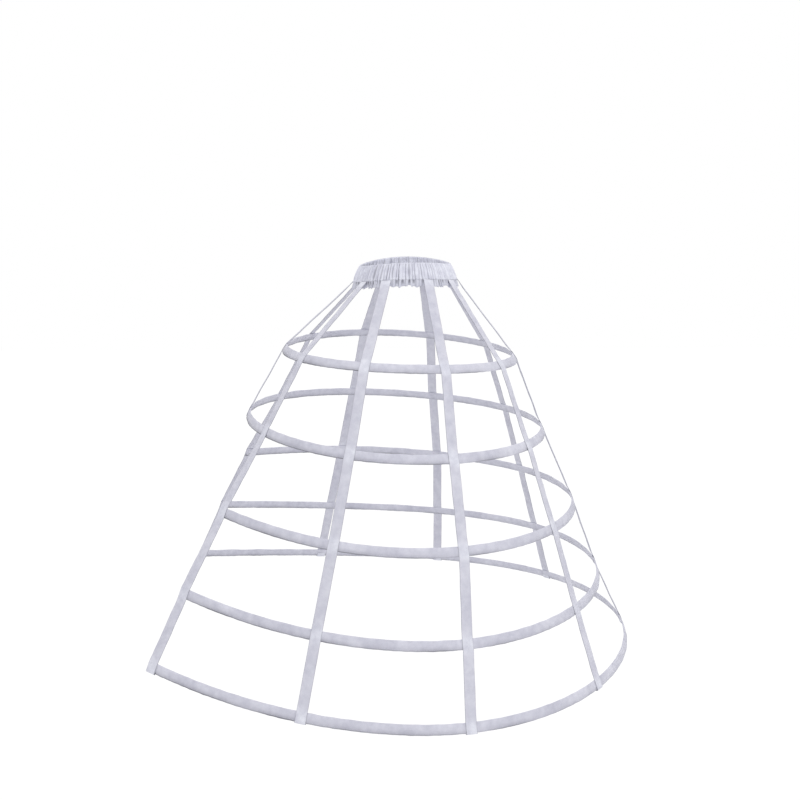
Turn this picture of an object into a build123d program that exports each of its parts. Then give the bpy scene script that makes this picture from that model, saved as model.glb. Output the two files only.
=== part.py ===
# Crinoline cage: five boned hoops hung on cotton tapes from a gathered elastic waistband.
# The wearer faces -Y, the wearer's left side is +X and Z is up. Sizes are in millimetres and degrees.
# The origin is the middle of the waist opening, level with the top edge at centre back and front.
# The two top hoops are closed rings. The three lower ones are open at the front, where the cage is stepped into.

import os
from bisect import bisect_right
from math import atan2, cos, degrees, radians, sin

from build123d import *

# Waistband: an elastic in a gathered fabric casing, with the edge of the fabric left as a ruffle below it.
waist_depth = 186
waist_width = 238
waist_side_lift = 10
waist_back_lift = 2.5
band_height = 32
band_flare = 13.5
band_edge_thickness = 3.8
band_puff_thickness = 5.4
band_seam_thickness = 3.8
gather_count = 66
gather_depth = 0.9
ruffle_drop = 14
ruffle_flare = 1.5
ruffle_thickness = 1.1
ruffle_edge_wave = 1.2
elastic_height = 20
elastic_thickness = 1.2
elastic_clearance = 0.35

# Hoops, one value for each from the top hoop to the hem.
# The reaches are measured from the waist's centre to the outside of the casing.
hoop_back_reach = [231, 292, 359, 414, 475]
hoop_side_reach = [302, 382, 448, 493, 540]
hoop_front_reach = [254, 332, 361, 430, 489]
hoop_widest_ahead = [23, 31, 34, 15, 7]
hoop_back_drop = [192, 343, 496, 644, 776]
hoop_side_drop = [177, 333, 491, 651, 789]
hoop_front_drop = [172, 309, 458, 600, 733]
hoop_lean = [34, 25, 22, 20, 21]
closed_hoops = 2
# Half the width of the front opening at the middle of the front tapes, for the open hoops only.
opening_half_width = [278, 338, 373]

# Casing, boning and the metal that joins or caps the boning.
casing_height = 19
casing_wall = 0.5
channel_height = 15
bone_height = 12
bone_thickness = 1.0
metal_wall = 0.3
metal_clearance = 0.1
sleeve_length = 20
bone_end_gap = 2
tip_length = 10
tip_clearance = 0.5
end_allowance = 4

# Tapes, and where each is sewn to a hoop: 0 is centre back, 1 the widest place, 2 centre front or the open end.
tape_width = 21
tape_thickness = 0.9
tape_seat_gap = 0.05
tape_margin = 1.5
tape_turn_up = 10
tape_seam_overlap = 4
tape_waist_angles = {"back": 35, "side_back": 68, "side_front": 112, "front": 142}
tape_places = {
    "back": [0.39, 0.38, 0.405, 0.42, 0.445],
    "side_back": [0.77, 0.78, 0.79, 0.83, 0.855],
    "side_front": [1.175, 1.178, 1.336, 1.386, 1.404],
    "front": [1.592, 1.626, 2, 2, 2],
}

# How finely the curved bands are divided.
bay_steps = 5
line_steps = 360
waist_steps = 24

channel_depth = bone_thickness + 2 * (metal_clearance + metal_wall + metal_clearance)
casing_thickness = channel_depth + 2 * casing_wall
metal_thickness = bone_thickness + 2 * (metal_clearance + metal_wall)
metal_height = bone_height + 2 * (metal_clearance + metal_wall)
band_lean = degrees(atan2(band_flare, band_height))
up = Vector(0, 0, 1)

os.makedirs("parts", exist_ok=True)


def save(name, part):
    """Label a finished piece and write it under its own name."""
    part.label = name
    export_step(part, f"parts/{name}.step")


def leaning_axes(tangent, lean):
    """Outward and upward directions of a band that leans in towards its top by the given angle."""
    level_out = up.cross(tangent).normalized()
    outward = level_out * cos(radians(lean)) + up * sin(radians(lean))
    outward = (outward - tangent * outward.dot(tangent)).normalized()
    return outward, tangent.cross(outward).normalized()


def section_plane(origin, outward, upward):
    """Plane across a band: local X points outwards and local Y up the band."""
    return Plane(origin=origin, x_dir=outward, z_dir=outward.cross(upward))


class HoopLine:
    """The line along the outside of one hoop's casing, from centre back round the wearer's left side."""

    def __init__(self, index):
        self.closed = index < closed_hoops
        self.lean = hoop_lean[index]
        self.widest_y = -hoop_widest_ahead[index]
        self.back = hoop_back_reach[index] - self.widest_y
        self.front = hoop_front_reach[index] + self.widest_y
        self.side = hoop_side_reach[index]
        self.end_width = None if self.closed else opening_half_width[index - closed_hoops]
        self.drops = (hoop_back_drop[index], hoop_side_drop[index], hoop_front_drop[index])
        self.measure_line(index)
        self.set_stations()

    def point(self, place):
        """A point of the line. The back is half an ellipse, and so is the front of a closed hoop.
        The front of an open hoop is a parabola, because its free ends spring outwards."""
        if place <= 1:
            turn = radians(90 * place)
            x = self.side * sin(turn)
            ahead = -self.back * cos(turn)
        elif self.closed:
            turn = radians(90 * (place - 1))
            x = self.side * cos(turn)
            ahead = self.front * sin(turn)
        else:
            x = self.side - (self.side - self.end_width) * (place - 1) ** 2
            ahead = self.front * (place - 1)
        return Vector(x, self.widest_y - ahead, -self.drop(ahead))

    def drop(self, ahead):
        """How far the hoop hangs below the waist: a parabola through its back, side and front."""
        at_back, at_side, at_front = self.drops
        back_share = ahead * (ahead - self.front) / (self.back * (self.back + self.front))
        side_share = (ahead + self.back) * (self.front - ahead) / (self.back * self.front)
        front_share = ahead * (ahead + self.back) / (self.front * (self.back + self.front))
        return at_back * back_share + at_side * side_share + at_front * front_share

    def measure_line(self, index):
        """Lengths along the line, and how far along it each tape crosses."""
        last_place = 2 if self.closed else 2.1
        self.places = [last_place * k / line_steps for k in range(line_steps + 1)]
        points = [self.point(place) for place in self.places]
        self.lengths = [0.0]
        for a, b in zip(points, points[1:]):
            self.lengths.append(self.lengths[-1] + (b - a).length)
        self.tapes = {name: self.length_to(places[index]) for name, places in tape_places.items()}
        self.tapes["centre_back"] = 0.0
        if self.closed:
            self.tapes["centre_front"] = self.length_to(2)
            self.length = self.tapes["centre_front"]
        else:
            self.length = self.tapes["front"] + tape_width / 2

    def length_to(self, place):
        k = min(bisect_right(self.places, place), line_steps) - 1
        share = (place - self.places[k]) / (self.places[k + 1] - self.places[k])
        return self.lengths[k] + share * (self.lengths[k + 1] - self.lengths[k])

    def curve_frame(self, length):
        """Origin, outward and upward direction on the smooth line."""
        k = min(bisect_right(self.lengths, length), line_steps) - 1
        share = (length - self.lengths[k]) / (self.lengths[k + 1] - self.lengths[k])
        place = self.places[k] + share * (self.places[k + 1] - self.places[k])
        step = 1 / line_steps
        tangent = (self.point(place + step) - self.point(place - step)).normalized()
        return self.point(place), *leaning_axes(tangent, self.lean)

    def set_stations(self):
        """Stations where the casing's flat facets meet: one facet at each tape, and even steps between tapes."""
        half_seat = tape_width / 2 + tape_margin
        seats = []
        for length in sorted(self.tapes.values()):
            seats.append((max(length - half_seat, 0), min(length + half_seat, self.length)))
        self.stations = []
        for (start, end), (next_start, _) in zip(seats, seats[1:]):
            self.stations.append(start)
            self.stations += [end + (next_start - end) * k / bay_steps for k in range(bay_steps)]
        self.stations += list(seats[-1])
        self.frames = [self.curve_frame(length) for length in self.stations]
        self.frames[0] = self.on_middle_plane(self.frames[1])
        if self.closed:
            self.frames[-1] = self.on_middle_plane(self.frames[-2])

    @staticmethod
    def on_middle_plane(frame):
        """A frame moved square to the middle plane, so that the facet under a centre tape is flat across."""
        return tuple(Vector(0, v.Y, v.Z) for v in frame)

    def frame(self, length):
        """Origin, outward and upward direction on the facets, in step with their ruled surfaces."""
        k = min(max(bisect_right(self.stations, length), 1), len(self.stations) - 1)
        share = (length - self.stations[k - 1]) / (self.stations[k] - self.stations[k - 1])
        return tuple(a + (b - a) * share for a, b in zip(self.frames[k - 1], self.frames[k]))

    def plane(self, length, depth=0.0):
        """Section plane at a length along the line, and at a depth in from the casing's outside."""
        origin, outward, upward = self.frame(length)
        return section_plane(origin - outward * depth, outward, upward)

    def stops(self, start, end):
        """The stations between two lengths, with both ends."""
        between = [length for length in self.stations if start + 0.01 < length < end - 0.01]
        return [start, *between, end]


def loft_along(hoop, start, end, depth, thickness, height, mode=Mode.ADD):
    """Loft a flat rectangular section along a hoop, at a depth in from the casing's outside."""
    sections = []
    for length in hoop.stops(start, end):
        with BuildSketch(hoop.plane(length, depth)) as section:
            Rectangle(thickness, height, align=(Align.MAX, Align.CENTER))
        sections.append(section.sketch)
    loft(sections, ruled=True, mode=mode)


hoops = [HoopLine(index) for index in range(len(hoop_back_reach))]
tape_step = casing_height / 2

# Hoop casings: flat fabric tubes. The channel stops short of the open ends, which are sewn shut.
for number, hoop in enumerate(hoops, start=1):
    channel_end = hoop.length if hoop.closed else hoop.length - end_allowance
    with BuildPart() as casing:
        loft_along(hoop, 0, hoop.length, 0, casing_thickness, casing_height)
        loft_along(hoop, 0, channel_end, casing_wall, channel_depth, channel_height, mode=Mode.SUBTRACT)
        mirror(about=Plane.YZ)
    save(f"hoop_{number}_casing", casing.part)

# Boning: one flat strip in each casing. In a closed hoop its two ends meet at centre back.
bone_depth = (casing_thickness - bone_thickness) / 2
metal_depth = (casing_thickness - metal_thickness) / 2
for number, hoop in enumerate(hoops, start=1):
    bone_start = bone_end_gap / 2 if hoop.closed else 0
    tip_end = hoop.length - end_allowance - tip_clearance
    bone_end = hoop.length if hoop.closed else tip_end - metal_wall - metal_clearance
    with BuildPart() as bone:
        loft_along(hoop, bone_start, bone_end, bone_depth, bone_thickness, bone_height)
        mirror(about=Plane.YZ)
    save(f"hoop_{number}_bone", bone.part)

    if hoop.closed:
        # A flat metal sleeve holds the two ends of the boning together.
        hole_depth = metal_depth + metal_wall
        with BuildPart() as sleeve:
            loft_along(hoop, 0, sleeve_length / 2, metal_depth, metal_thickness, metal_height)
            loft_along(
                hoop, 0, sleeve_length / 2, hole_depth, metal_thickness - 2 * metal_wall,
                metal_height - 2 * metal_wall, mode=Mode.SUBTRACT,
            )
            mirror(about=Plane.YZ)
        save(f"hoop_{number}_bone_sleeve", sleeve.part)
    else:
        # A metal cap covers each free end of the boning, so that it doesn't wear through the casing.
        hole_depth = metal_depth + metal_wall
        with BuildPart() as tips:
            loft_along(hoop, tip_end - tip_length, tip_end, metal_depth, metal_thickness, metal_height)
            loft_along(
                hoop, tip_end - tip_length, tip_end - metal_wall, hole_depth, metal_thickness - 2 * metal_wall,
                metal_height - 2 * metal_wall, mode=Mode.SUBTRACT,
            )
            mirror(about=Plane.YZ)
        save(f"hoop_{number}_bone_tips", tips.part)


def waist_frame(angle, drop=0.0):
    """Origin, level outward direction and tangent on the waistband, from 0 at centre back to 180 at front."""
    turn = radians(angle)
    lift = waist_back_lift * cos(turn) + waist_side_lift * sin(turn) ** 2
    tangent = Vector(waist_width * cos(turn), -waist_depth * sin(turn), 0).normalized()
    outward = up.cross(tangent)
    origin = Vector(waist_width / 2 * sin(turn), waist_depth / 2 * cos(turn), lift - drop)
    return origin, outward, tangent


def waist_plane(angle):
    origin, outward, _ = waist_frame(angle)
    return section_plane(origin, outward, up)


def band_centre(drop):
    """How far the middle of the band has flared out at a drop below its top edge."""
    return band_flare * drop / band_height


# Waistband: the gathers are crests and valleys that alternate round the ring, deepest at the front.
# Below the seam the free edge of the fabric hangs as a ruffle. Its folds follow the gathers, so that each
# facet is flat, and its lower edge rises at each crest.
gather_angles = [180 * k / gather_count for k in range(gather_count + 1)]
channel_top = (band_height - elastic_height) / 2 - elastic_clearance
channel_bottom = channel_top + elastic_height + 2 * elastic_clearance
channel_thickness = elastic_thickness + 2 * elastic_clearance


def band_outline(angle, crest):
    """Section of the waistband at a crest (1) or a valley (-1), as level offsets and heights."""
    fullness = 0.75 + 0.25 * sin(radians(angle / 2)) ** 2
    wave = crest * gather_depth * fullness
    middle = band_height / 2
    ruffle_length = ruffle_drop - crest * ruffle_edge_wave
    share = ruffle_length / ruffle_drop
    hem_thickness = band_seam_thickness + (ruffle_thickness - band_seam_thickness) * share
    levels = [
        (0, 0, band_edge_thickness),
        (middle, band_centre(middle), band_puff_thickness),
        (band_height, band_flare, band_seam_thickness),
        (band_height + ruffle_length, band_flare + ruffle_flare * share, hem_thickness),
    ]
    outer = [(centre + wave + thickness / 2, -drop) for drop, centre, thickness in levels]
    inner = [(centre + wave - thickness / 2, -drop) for drop, centre, thickness in reversed(levels)]
    return outer + inner


def loft_waist_ring(top, bottom, thickness, mode=Mode.ADD):
    """Loft a plain leaning strip round half the waist, centred in the thickness of the band."""
    half = thickness / 2
    corners = [
        (band_centre(top) - half, -top),
        (band_centre(top) + half, -top),
        (band_centre(bottom) + half, -bottom),
        (band_centre(bottom) - half, -bottom),
    ]
    sections = []
    for k in range(waist_steps + 1):
        with BuildSketch(waist_plane(180 * k / waist_steps)) as section:
            with BuildLine():
                Polyline(*corners, close=True)
            make_face()
        sections.append(section.sketch)
    loft(sections, ruled=True, mode=mode)


with BuildPart() as waistband:
    for k, angle in enumerate(gather_angles):
        with BuildSketch(waist_plane(angle)):
            with BuildLine():
                Polyline(*band_outline(angle, 1 if k % 2 else -1), close=True)
            make_face()
    loft(ruled=True)
    loft_waist_ring(channel_top, channel_bottom, channel_thickness, mode=Mode.SUBTRACT)
    mirror(about=Plane.YZ)
save("waistband", waistband.part)

with BuildPart() as waist_elastic:
    loft_waist_ring(channel_top + elastic_clearance, channel_bottom - elastic_clearance, elastic_thickness)
    mirror(about=Plane.YZ)
save("waist_elastic", waist_elastic.part)


def tape_top_planes(angle):
    """The two top sections of a tape, where it is sewn to the outside of the waistband's seam."""
    _, outward, tangent = waist_frame(angle)
    planes = []
    for drop in (band_height - tape_seam_overlap, band_height):
        above_seam = (band_height - drop) / (band_height / 2)
        thickness = band_seam_thickness + above_seam * (band_puff_thickness - band_seam_thickness)
        origin, _, _ = waist_frame(angle, drop)
        origin += outward * (band_centre(drop) + thickness / 2 + gather_depth + tape_seat_gap)
        _, upward = leaning_axes(tangent, band_lean)
        planes.append(Plane(origin=origin, x_dir=tangent, z_dir=upward))
    return planes


def tape_seat(hoop, name):
    """Origin, tangent, outward and upward direction in the middle of a tape's seat on a hoop."""
    origin, outward, upward = hoop.frame(hoop.tapes[name])
    outward = outward.normalized()
    upward = upward.normalized()
    return origin + outward * tape_seat_gap, outward.cross(upward), outward, upward


def turned_end(hoop, name):
    """The end of a tape: flat on the casing, under its lower edge and a little way up the inside."""
    origin, tangent, outward, upward = tape_seat(hoop, name)
    inside = -casing_thickness - 2 * tape_seat_gap
    underside = -casing_height / 2 - tape_seat_gap
    with BuildSketch(Plane(origin=origin, x_dir=outward, z_dir=tangent)) as profile:
        with BuildLine():
            Polyline(
                (0, casing_height / 2),
                (tape_thickness, casing_height / 2),
                (tape_thickness, underside - tape_thickness),
                (inside - tape_thickness, underside - tape_thickness),
                (inside - tape_thickness, underside + tape_turn_up),
                (inside, underside + tape_turn_up),
                (inside, underside),
                (0, underside),
                close=True,
            )
        make_face()
    extrude(profile.sketch, amount=tape_width / 2, both=True)


def build_tape(name, waist_angle, crossed_hoops):
    """A tape from the waistband's seam down over the outside of each hoop that it crosses."""
    planes = tape_top_planes(waist_angle)
    for hoop in crossed_hoops:
        origin, tangent, _, upward = tape_seat(hoop, name)
        planes.append(Plane(origin=origin + upward * tape_step, x_dir=tangent, z_dir=upward))
        planes.append(Plane(origin=origin - upward * tape_step, x_dir=tangent, z_dir=upward))
    with BuildPart() as tape:
        for plane in planes[:-1]:
            with BuildSketch(plane):
                Rectangle(tape_width, tape_thickness, align=(Align.CENTER, Align.MIN))
        loft(ruled=True)
        turned_end(crossed_hoops[-1], name)
    return tape.part


save("centre_back_tape", build_tape("centre_back", 0, hoops))
save("centre_front_tape", build_tape("centre_front", 180, hoops[:closed_hoops]))
for name, waist_angle in tape_waist_angles.items():
    left_tape = build_tape(name, waist_angle, hoops)
    save(f"left_{name}_tape", left_tape)
    save(f"right_{name}_tape", left_tape.mirror(Plane.YZ))
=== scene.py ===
"""Crinoline cage: the looks of its casings, tapes, waistband, stitching, boning and metal.

Everything is in metres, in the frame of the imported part. Up is +Z, the wearer's front is -Y and
the wearer's left side is +X. The lines of the hoops and tapes are read from the part's own nodes.
"""

import math

import bpy
import numpy as np
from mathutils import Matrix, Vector


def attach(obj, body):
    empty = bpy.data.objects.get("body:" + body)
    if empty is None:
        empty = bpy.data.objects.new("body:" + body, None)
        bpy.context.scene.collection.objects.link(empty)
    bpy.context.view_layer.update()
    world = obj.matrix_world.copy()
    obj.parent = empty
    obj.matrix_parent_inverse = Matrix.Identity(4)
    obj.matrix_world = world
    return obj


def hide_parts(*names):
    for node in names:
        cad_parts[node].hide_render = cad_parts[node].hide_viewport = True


MM = 0.001
HOOPS = 5
CLOSED_HOOPS = 2
SIDE_TAPES = ("back", "side_back", "side_front", "front")

# Camera, at the photograph's viewing angle.
CAMERA_PLACE = (2.6, -0.0829, 0.1508)
CAMERA_YAW = 1.585
CAMERA_PITCH = -9.576
CAMERA_LENS = 55.71
SENSOR_WIDTH = 36

# Casings: a strip of cloth folded round the boning and sewn along the bottom.
CASING_HEIGHT = 19 * MM
CASING_THICKNESS = 2.8 * MM
CASING_CLOTH = 0.4 * MM
CASING_STEP = 3 * MM
CASING_END = 6 * MM
CASING_CORNER = 3 * MM
CASING_END_FLATNESS = 0.3
THINNEST_SKIN = 0.03 * MM
RIDGE_SLACK = 0.05 * MM
STITCH_ROW = -6.9 * MM
# Heights from the casing's middle line in millimetres, and how much of the painted shade along the seam
# and the lower edge lies there.
SEAM_SHADE = [(-9.6, 2.2), (-8.7, 1.9), (-7.6, 0.9), (-5.0, 0.5), (-2.0, 0.15), (3, 0)]
# That painted shade's mean, how it varies along the hoop, how much darker it is painted towards the
# front, and its most.
SHADE_MEAN = 0.32
SHADE_UNEVEN = 0.1
SHADE_IN_FRONT = 0.2
SHADE_MOST = 0.95
SHADE_PITCH = 150 * MM
PUCKER_PITCH = 8 * MM
PUCKER_DEPTH = 0.25 * MM
PUCKER_REACH = 3.2 * MM
SLACK_PITCH = 45 * MM
SLACK_DEPTH = 0.22 * MM
EDGE_WAVE = 0.18 * MM
SWAY_PITCH = 90 * MM
SWAY_DEGREES = 2.5
SEAT_ROOM = 22 * MM
# Heights from the sewn bottom edge to the top fold, and half the thickness there, in millimetres.
CASING_SECTION = [
    (-9.6, 0.1), (-9.4, 0.6), (-8.4, 0.85), (-6.9, 0.6), (-5.7, 1.0), (-3.8, 1.35),
    (0, 1.45), (4.2, 1.44), (7.4, 1.3), (9.1, 0.85), (9.6, 0.1),
]

# Boning: flat strips inside the casings.
BONE_HEIGHT = 12 * MM
BONE_THICKNESS = 1.0 * MM
BONE_STEP = 12 * MM
BONE_END_ROOM = 5 * MM

# Tapes: woven, sewn over the outside of each casing, and folded round the last one that they cross.
TAPE_WIDTH = 21 * MM
TAPE_THICKNESS = 0.9 * MM
TAPE_STEP = 3 * MM
TAPE_SOFTENING = 3.5 * MM
TAPE_TURN_UP = 10 * MM
TAPE_LIFT = 0.25 * MM
TURN_RADIUS = CASING_THICKNESS / 2 + TAPE_LIFT + TAPE_THICKNESS / 2
TURN_STEP = 2 * MM
TAPE_RIPPLE_PITCH = 70 * MM
TAPE_RIPPLE = 0.13 * MM
TAPE_BOW = 1.5
TAPE_CUP = 0.6 * MM
CENTRE_CUP = 2 * MM
WIDEST = 1.004
WIDTH_UNEVEN = 0.008
# How far a tape lies straight on each side of a crossing, and below the waistband.
CROSSING_HOLD = 16 * MM
TOP_HOLD = 20 * MM
# Thickness at the cut edge, along the selvedge and between the selvedges, as shares of the tape's.
EDGE_THICKNESS = 0.25
SELVEDGE_THICKNESS = 1.1
MIDDLE_THICKNESS = 0.85
# Strength of the painted shade along each selvedge of a tape.
SELVEDGE_SHADE = 0.5
SEAM_TUCK = 1.45 * MM
SEAM_GAP = 0.25 * MM

# Waistband: a gathered band over an elastic, with the edge of the cloth left as a ruffle below its seam.
WAIST_DEPTH = 186 * MM
WAIST_WIDTH = 238 * MM
WAIST_SIDE_LIFT = 10 * MM
WAIST_BACK_LIFT = 2.5 * MM
BAND_HEIGHT = 32 * MM
BAND_FLARE = 13.5 * MM
BAND_CLOTH = 0.5 * MM
BAND_COLUMNS = 1180
CHANNEL_COLUMNS = 590
GATHER_PITCH = 6.0 * MM
GATHER_DEPTH = 1.15 * MM
CREST_FLAT = 0.65
CREST_ROUND = 0.35
# Share of the gathers' depth that is gone at the ruffle's edge.
GATHERS_LOST = 0.55
# Gathers drift along the band, lean as they go down, vary in strength and are stronger in front.
GATHER_DRIFT = 0.3
GATHER_DRIFT_PITCH = 26 * MM
GATHER_LEAN = 0.15
GATHER_LEAN_PITCH = 16 * MM
STRENGTH_MEAN = 0.85
STRENGTH_UNEVEN = 0.35
STRENGTH_PITCH = 15 * MM
STRENGTH_IN_FRONT = 0.6
STRENGTH_RANGE = (0.15, 1.5)
FINE_CREASE = 0.2
FINE_CREASE_PITCH = 2.6 * MM
# Ruffle: folds that open as they fall, curl sideways and end in an uneven edge.
RUFFLE_DROP = 14 * MM
RUFFLE_OUT = 3 * MM
RUFFLE_PITCH = 11 * MM
RUFFLE_DRIFT = 0.3
RUFFLE_DRIFT_PITCH = 34 * MM
RUFFLE_FOLD = 3.2 * MM
SWING_MEAN = 0.8
SWING_UNEVEN = 0.35
SWING_PITCH = 22 * MM
RUFFLE_CURL = 1.7 * MM
CURL_PINCH = 0.55
CURL_LEAN = 0.5
RUFFLE_UNEVEN = 1.1 * MM
RUFFLE_UNEVEN_PITCH = 30 * MM
RUFFLE_LOBE = 1.1 * MM
# Under a tape the ruffle is pressed nearly flat and in, out to a soft edge beside the tape.
PRESSED = 0.85
PRESSED_IN = 0.9 * MM
PRESSED_REACH = 0.62 * TAPE_WIDTH
PRESSED_EDGE = 1.1 * MM
LIP_DROP = 29 * MM
# Strength of the painted shade in the gathers' valleys, in the ruffle's folds and along its seam, and its
# most.
VALLEY_SHADE = 0.5
FOLD_SHADE = 0.7
BAND_SEAM_SHADE = 0.12
BAND_SHADE_MOST = 0.85
BAND_CUT = (80 * MM, 960 * MM)
# Drops below the top edge, and half the band's thickness there, in millimetres.
BAND_SECTION = [
    (0, 0.3), (0.6, 1.1), (2.2, 1.5), (4.0, 1.25), (5.6, 1.9), (9, 2.5), (16, 2.7), (23, 2.6),
    (26.6, 2.1), (28.4, 1.5), (30.0, 2.0), (31.2, 1.9), (31.8, 1.5), (32, 1.0),
]
# Drops of the stitched rows and of the mesh's own rows, in millimetres.
BAND_ROWS = (4.0, 28.4)
TOP_FOLD_DROPS = (0, 0.6, 2.2, 4.0)
GATHERED_DROPS = np.linspace(5.3, 26.6, 13)
SEAM_DROPS = (28.4, 30.0, 31.2, 31.8, 32.0)
CHANNEL_DROPS = np.linspace(5.6, 26.6, 9)

# Thread.
STITCH_PITCH = 2.9 * MM
STITCH_LENGTH = 2.3 * MM
THREAD_THICKNESS = 0.42 * MM
# Box of stitches at a crossing: half its size, its place in front of the tape's middle as a share of the
# tape's thickness, how far it lies off the cloth behind, and its inset on the turned end.
SEWN_BOX = 7.6 * MM
SEWN_FRONT = 0.6
SEWN_LIFT = 0.15 * MM
SEWN_INSET = 2 * MM

# Cloth: how dark the painted shade in a fold is, as a share of the cloth's darker colour, and the relief
# of the weave.
SHADE_DEPTH = 0.35
WEAVE_RELIEF = 0.4 * MM
# Noise in the cloth, per metre: slubs in the threads, creases, and broad unevenness of colour.
SLUB_SCALE = 900
CREASE_SCALE = 70
BROAD_SCALE = 14
# How much painted shade the weave's grooves and the creases add towards the cloth's darker colour, and
# the noise levels that creases and broad unevenness are measured from.
WEAVE_SHADE = 0.35
CREASE_SHADE = 1.1
CREASE_LEVEL = 0.55
BROAD_LEVEL = 0.35

# Steel: the scale of its streaks along the strip, and how dark they are, as a share of the colour.
STREAK_LENGTHWISE = 30
STREAK_TONE = 0.75

# Stage.
FLOOR_HEIGHT = -1.07
FLOOR_SIZE = 14
FLOOR_GLOW = 1.07
# Share of the floor that glows for the camera. The rest takes the object's shadow.
FLOOR_GLOW_SHARE = 0.85
ROOM_LIGHT = 0.92
# Place, width and power of each lamp, and the point that all of them face.
LAMPS = {
    "top_softbox": ((0.6, 0.5, 2.6), 2.6, 18),
    "camera_side_softbox": ((3.0, 1.2, 0.9), 1.8, 9),
}
LAMP_AIM = (0, 0, -0.4)

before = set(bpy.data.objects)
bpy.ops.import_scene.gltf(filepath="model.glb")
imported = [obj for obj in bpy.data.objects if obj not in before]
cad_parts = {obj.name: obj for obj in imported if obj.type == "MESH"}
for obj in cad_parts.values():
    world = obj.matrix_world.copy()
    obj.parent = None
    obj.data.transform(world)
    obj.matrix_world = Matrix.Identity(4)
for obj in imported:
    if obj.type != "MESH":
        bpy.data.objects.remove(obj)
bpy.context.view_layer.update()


def unit(rows):
    """Each row at a length of one."""
    return rows / np.linalg.norm(rows, axis=-1, keepdims=True)


def ripple(distance, length, pitch, seed):
    """A smooth uneven wave of five sines, mostly from -1 to 1, that closes on itself over the length."""
    chance = np.random.default_rng(seed)
    wave = np.zeros_like(distance)
    for share in chance.uniform(0.65, 1.45, 5):
        turns = max(1, round(length / pitch * share))
        wave += np.sin(2 * math.pi * turns * distance / length + chance.uniform(0, 2 * math.pi))
    return wave / 2.2


def profile(table, at):
    """Linear reading of a table of pairs in millimetres."""
    pairs = np.array(table) * MM
    return np.interp(at, pairs[:, 0], pairs[:, 1])


def node_points(name):
    """The corners of a node, each once."""
    points = np.array([v.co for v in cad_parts[name].data.vertices])
    return np.unique(points.round(6), axis=0)


def groups_of(points, reach):
    """Splits points into groups in which each has a neighbour within reach."""
    left = set(range(len(points)))
    groups = []
    while left:
        group, todo = [], [left.pop()]
        while todo:
            i = todo.pop()
            group.append(i)
            near = {j for j in left if np.linalg.norm(points[j] - points[i]) < reach}
            left -= near
            todo += near
        groups.append(points[group])
    return groups


def distances(points):
    """How far along a line each of its points lies."""
    return np.concatenate([[0], np.cumsum(np.linalg.norm(np.diff(points, axis=0), axis=1))])


def smooth_rows(rows, closed, step):
    """Rows resampled at an even step along a smooth curve through their first three columns.
    Returns the distances along the curve, its length and the rows."""
    if closed:
        rows = np.vstack([rows[-2:], rows, rows[:3]])
    at = distances(rows[:, :3])
    slope = np.gradient(rows, at, axis=0)
    start, end = (at[2], at[-3]) if closed else (at[0], at[-1])
    count = round((end - start) / step)
    where = np.linspace(start, end, count + 1)
    if closed:
        where = where[:-1]
    k = np.clip(np.searchsorted(at, where, side="right") - 1, 0, len(at) - 2)
    gap = (at[k + 1] - at[k])[:, None]
    t = (where - at[k])[:, None] / gap
    smooth = (
        (2 * t**3 - 3 * t**2 + 1) * rows[k]
        + (t**3 - 2 * t**2 + t) * gap * slope[k]
        + (3 * t**2 - 2 * t**3) * rows[k + 1]
        + (t**3 - t**2) * gap * slope[k + 1]
    )
    return where - start, end - start, smooth


def direction_along(points, closed):
    """The direction of a line at each of its points."""
    if closed:
        return unit(np.roll(points, -1, axis=0) - np.roll(points, 1, axis=0))
    return unit(np.gradient(points, axis=0))


def casing_stations(number):
    """Where the casing's flat facets meet, in order round the hoop: outside middle and outward direction.
    There the solid has a steep edge as long as the casing is high on its outside, and one on its inside.
    The edges on the middle plane lie within a facet, so they are left out."""
    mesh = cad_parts[f"hoop_{number}_casing"].data
    corners = np.array([v.co for v in mesh.vertices])
    a, b = (corners[[edge.vertices[k] for edge in mesh.edges]] for k in (0, 1))
    length = np.linalg.norm(a - b, axis=1)
    ridge = (np.abs(length - CASING_HEIGHT) < RIDGE_SLACK) & (np.abs(a - b)[:, 2] > CASING_HEIGHT / 2)
    middles = np.unique(((a + b) / 2)[ridge].round(5), axis=0)
    stations = []
    for pair in groups_of(middles, 1.5 * CASING_THICKNESS):
        inside, outside = pair[np.argsort(np.linalg.norm(pair[:, :2], axis=1))[[0, -1]]]
        stations.append(np.concatenate([outside, unit(outside - inside)]))
    stations = np.array(stations)
    stations = stations[np.abs(stations[:, 0]) > MM]
    middle = (stations[:, 1].min() + stations[:, 1].max()) / 2
    return stations[np.argsort(np.arctan2(stations[:, 0], stations[:, 1] - middle))]


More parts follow.
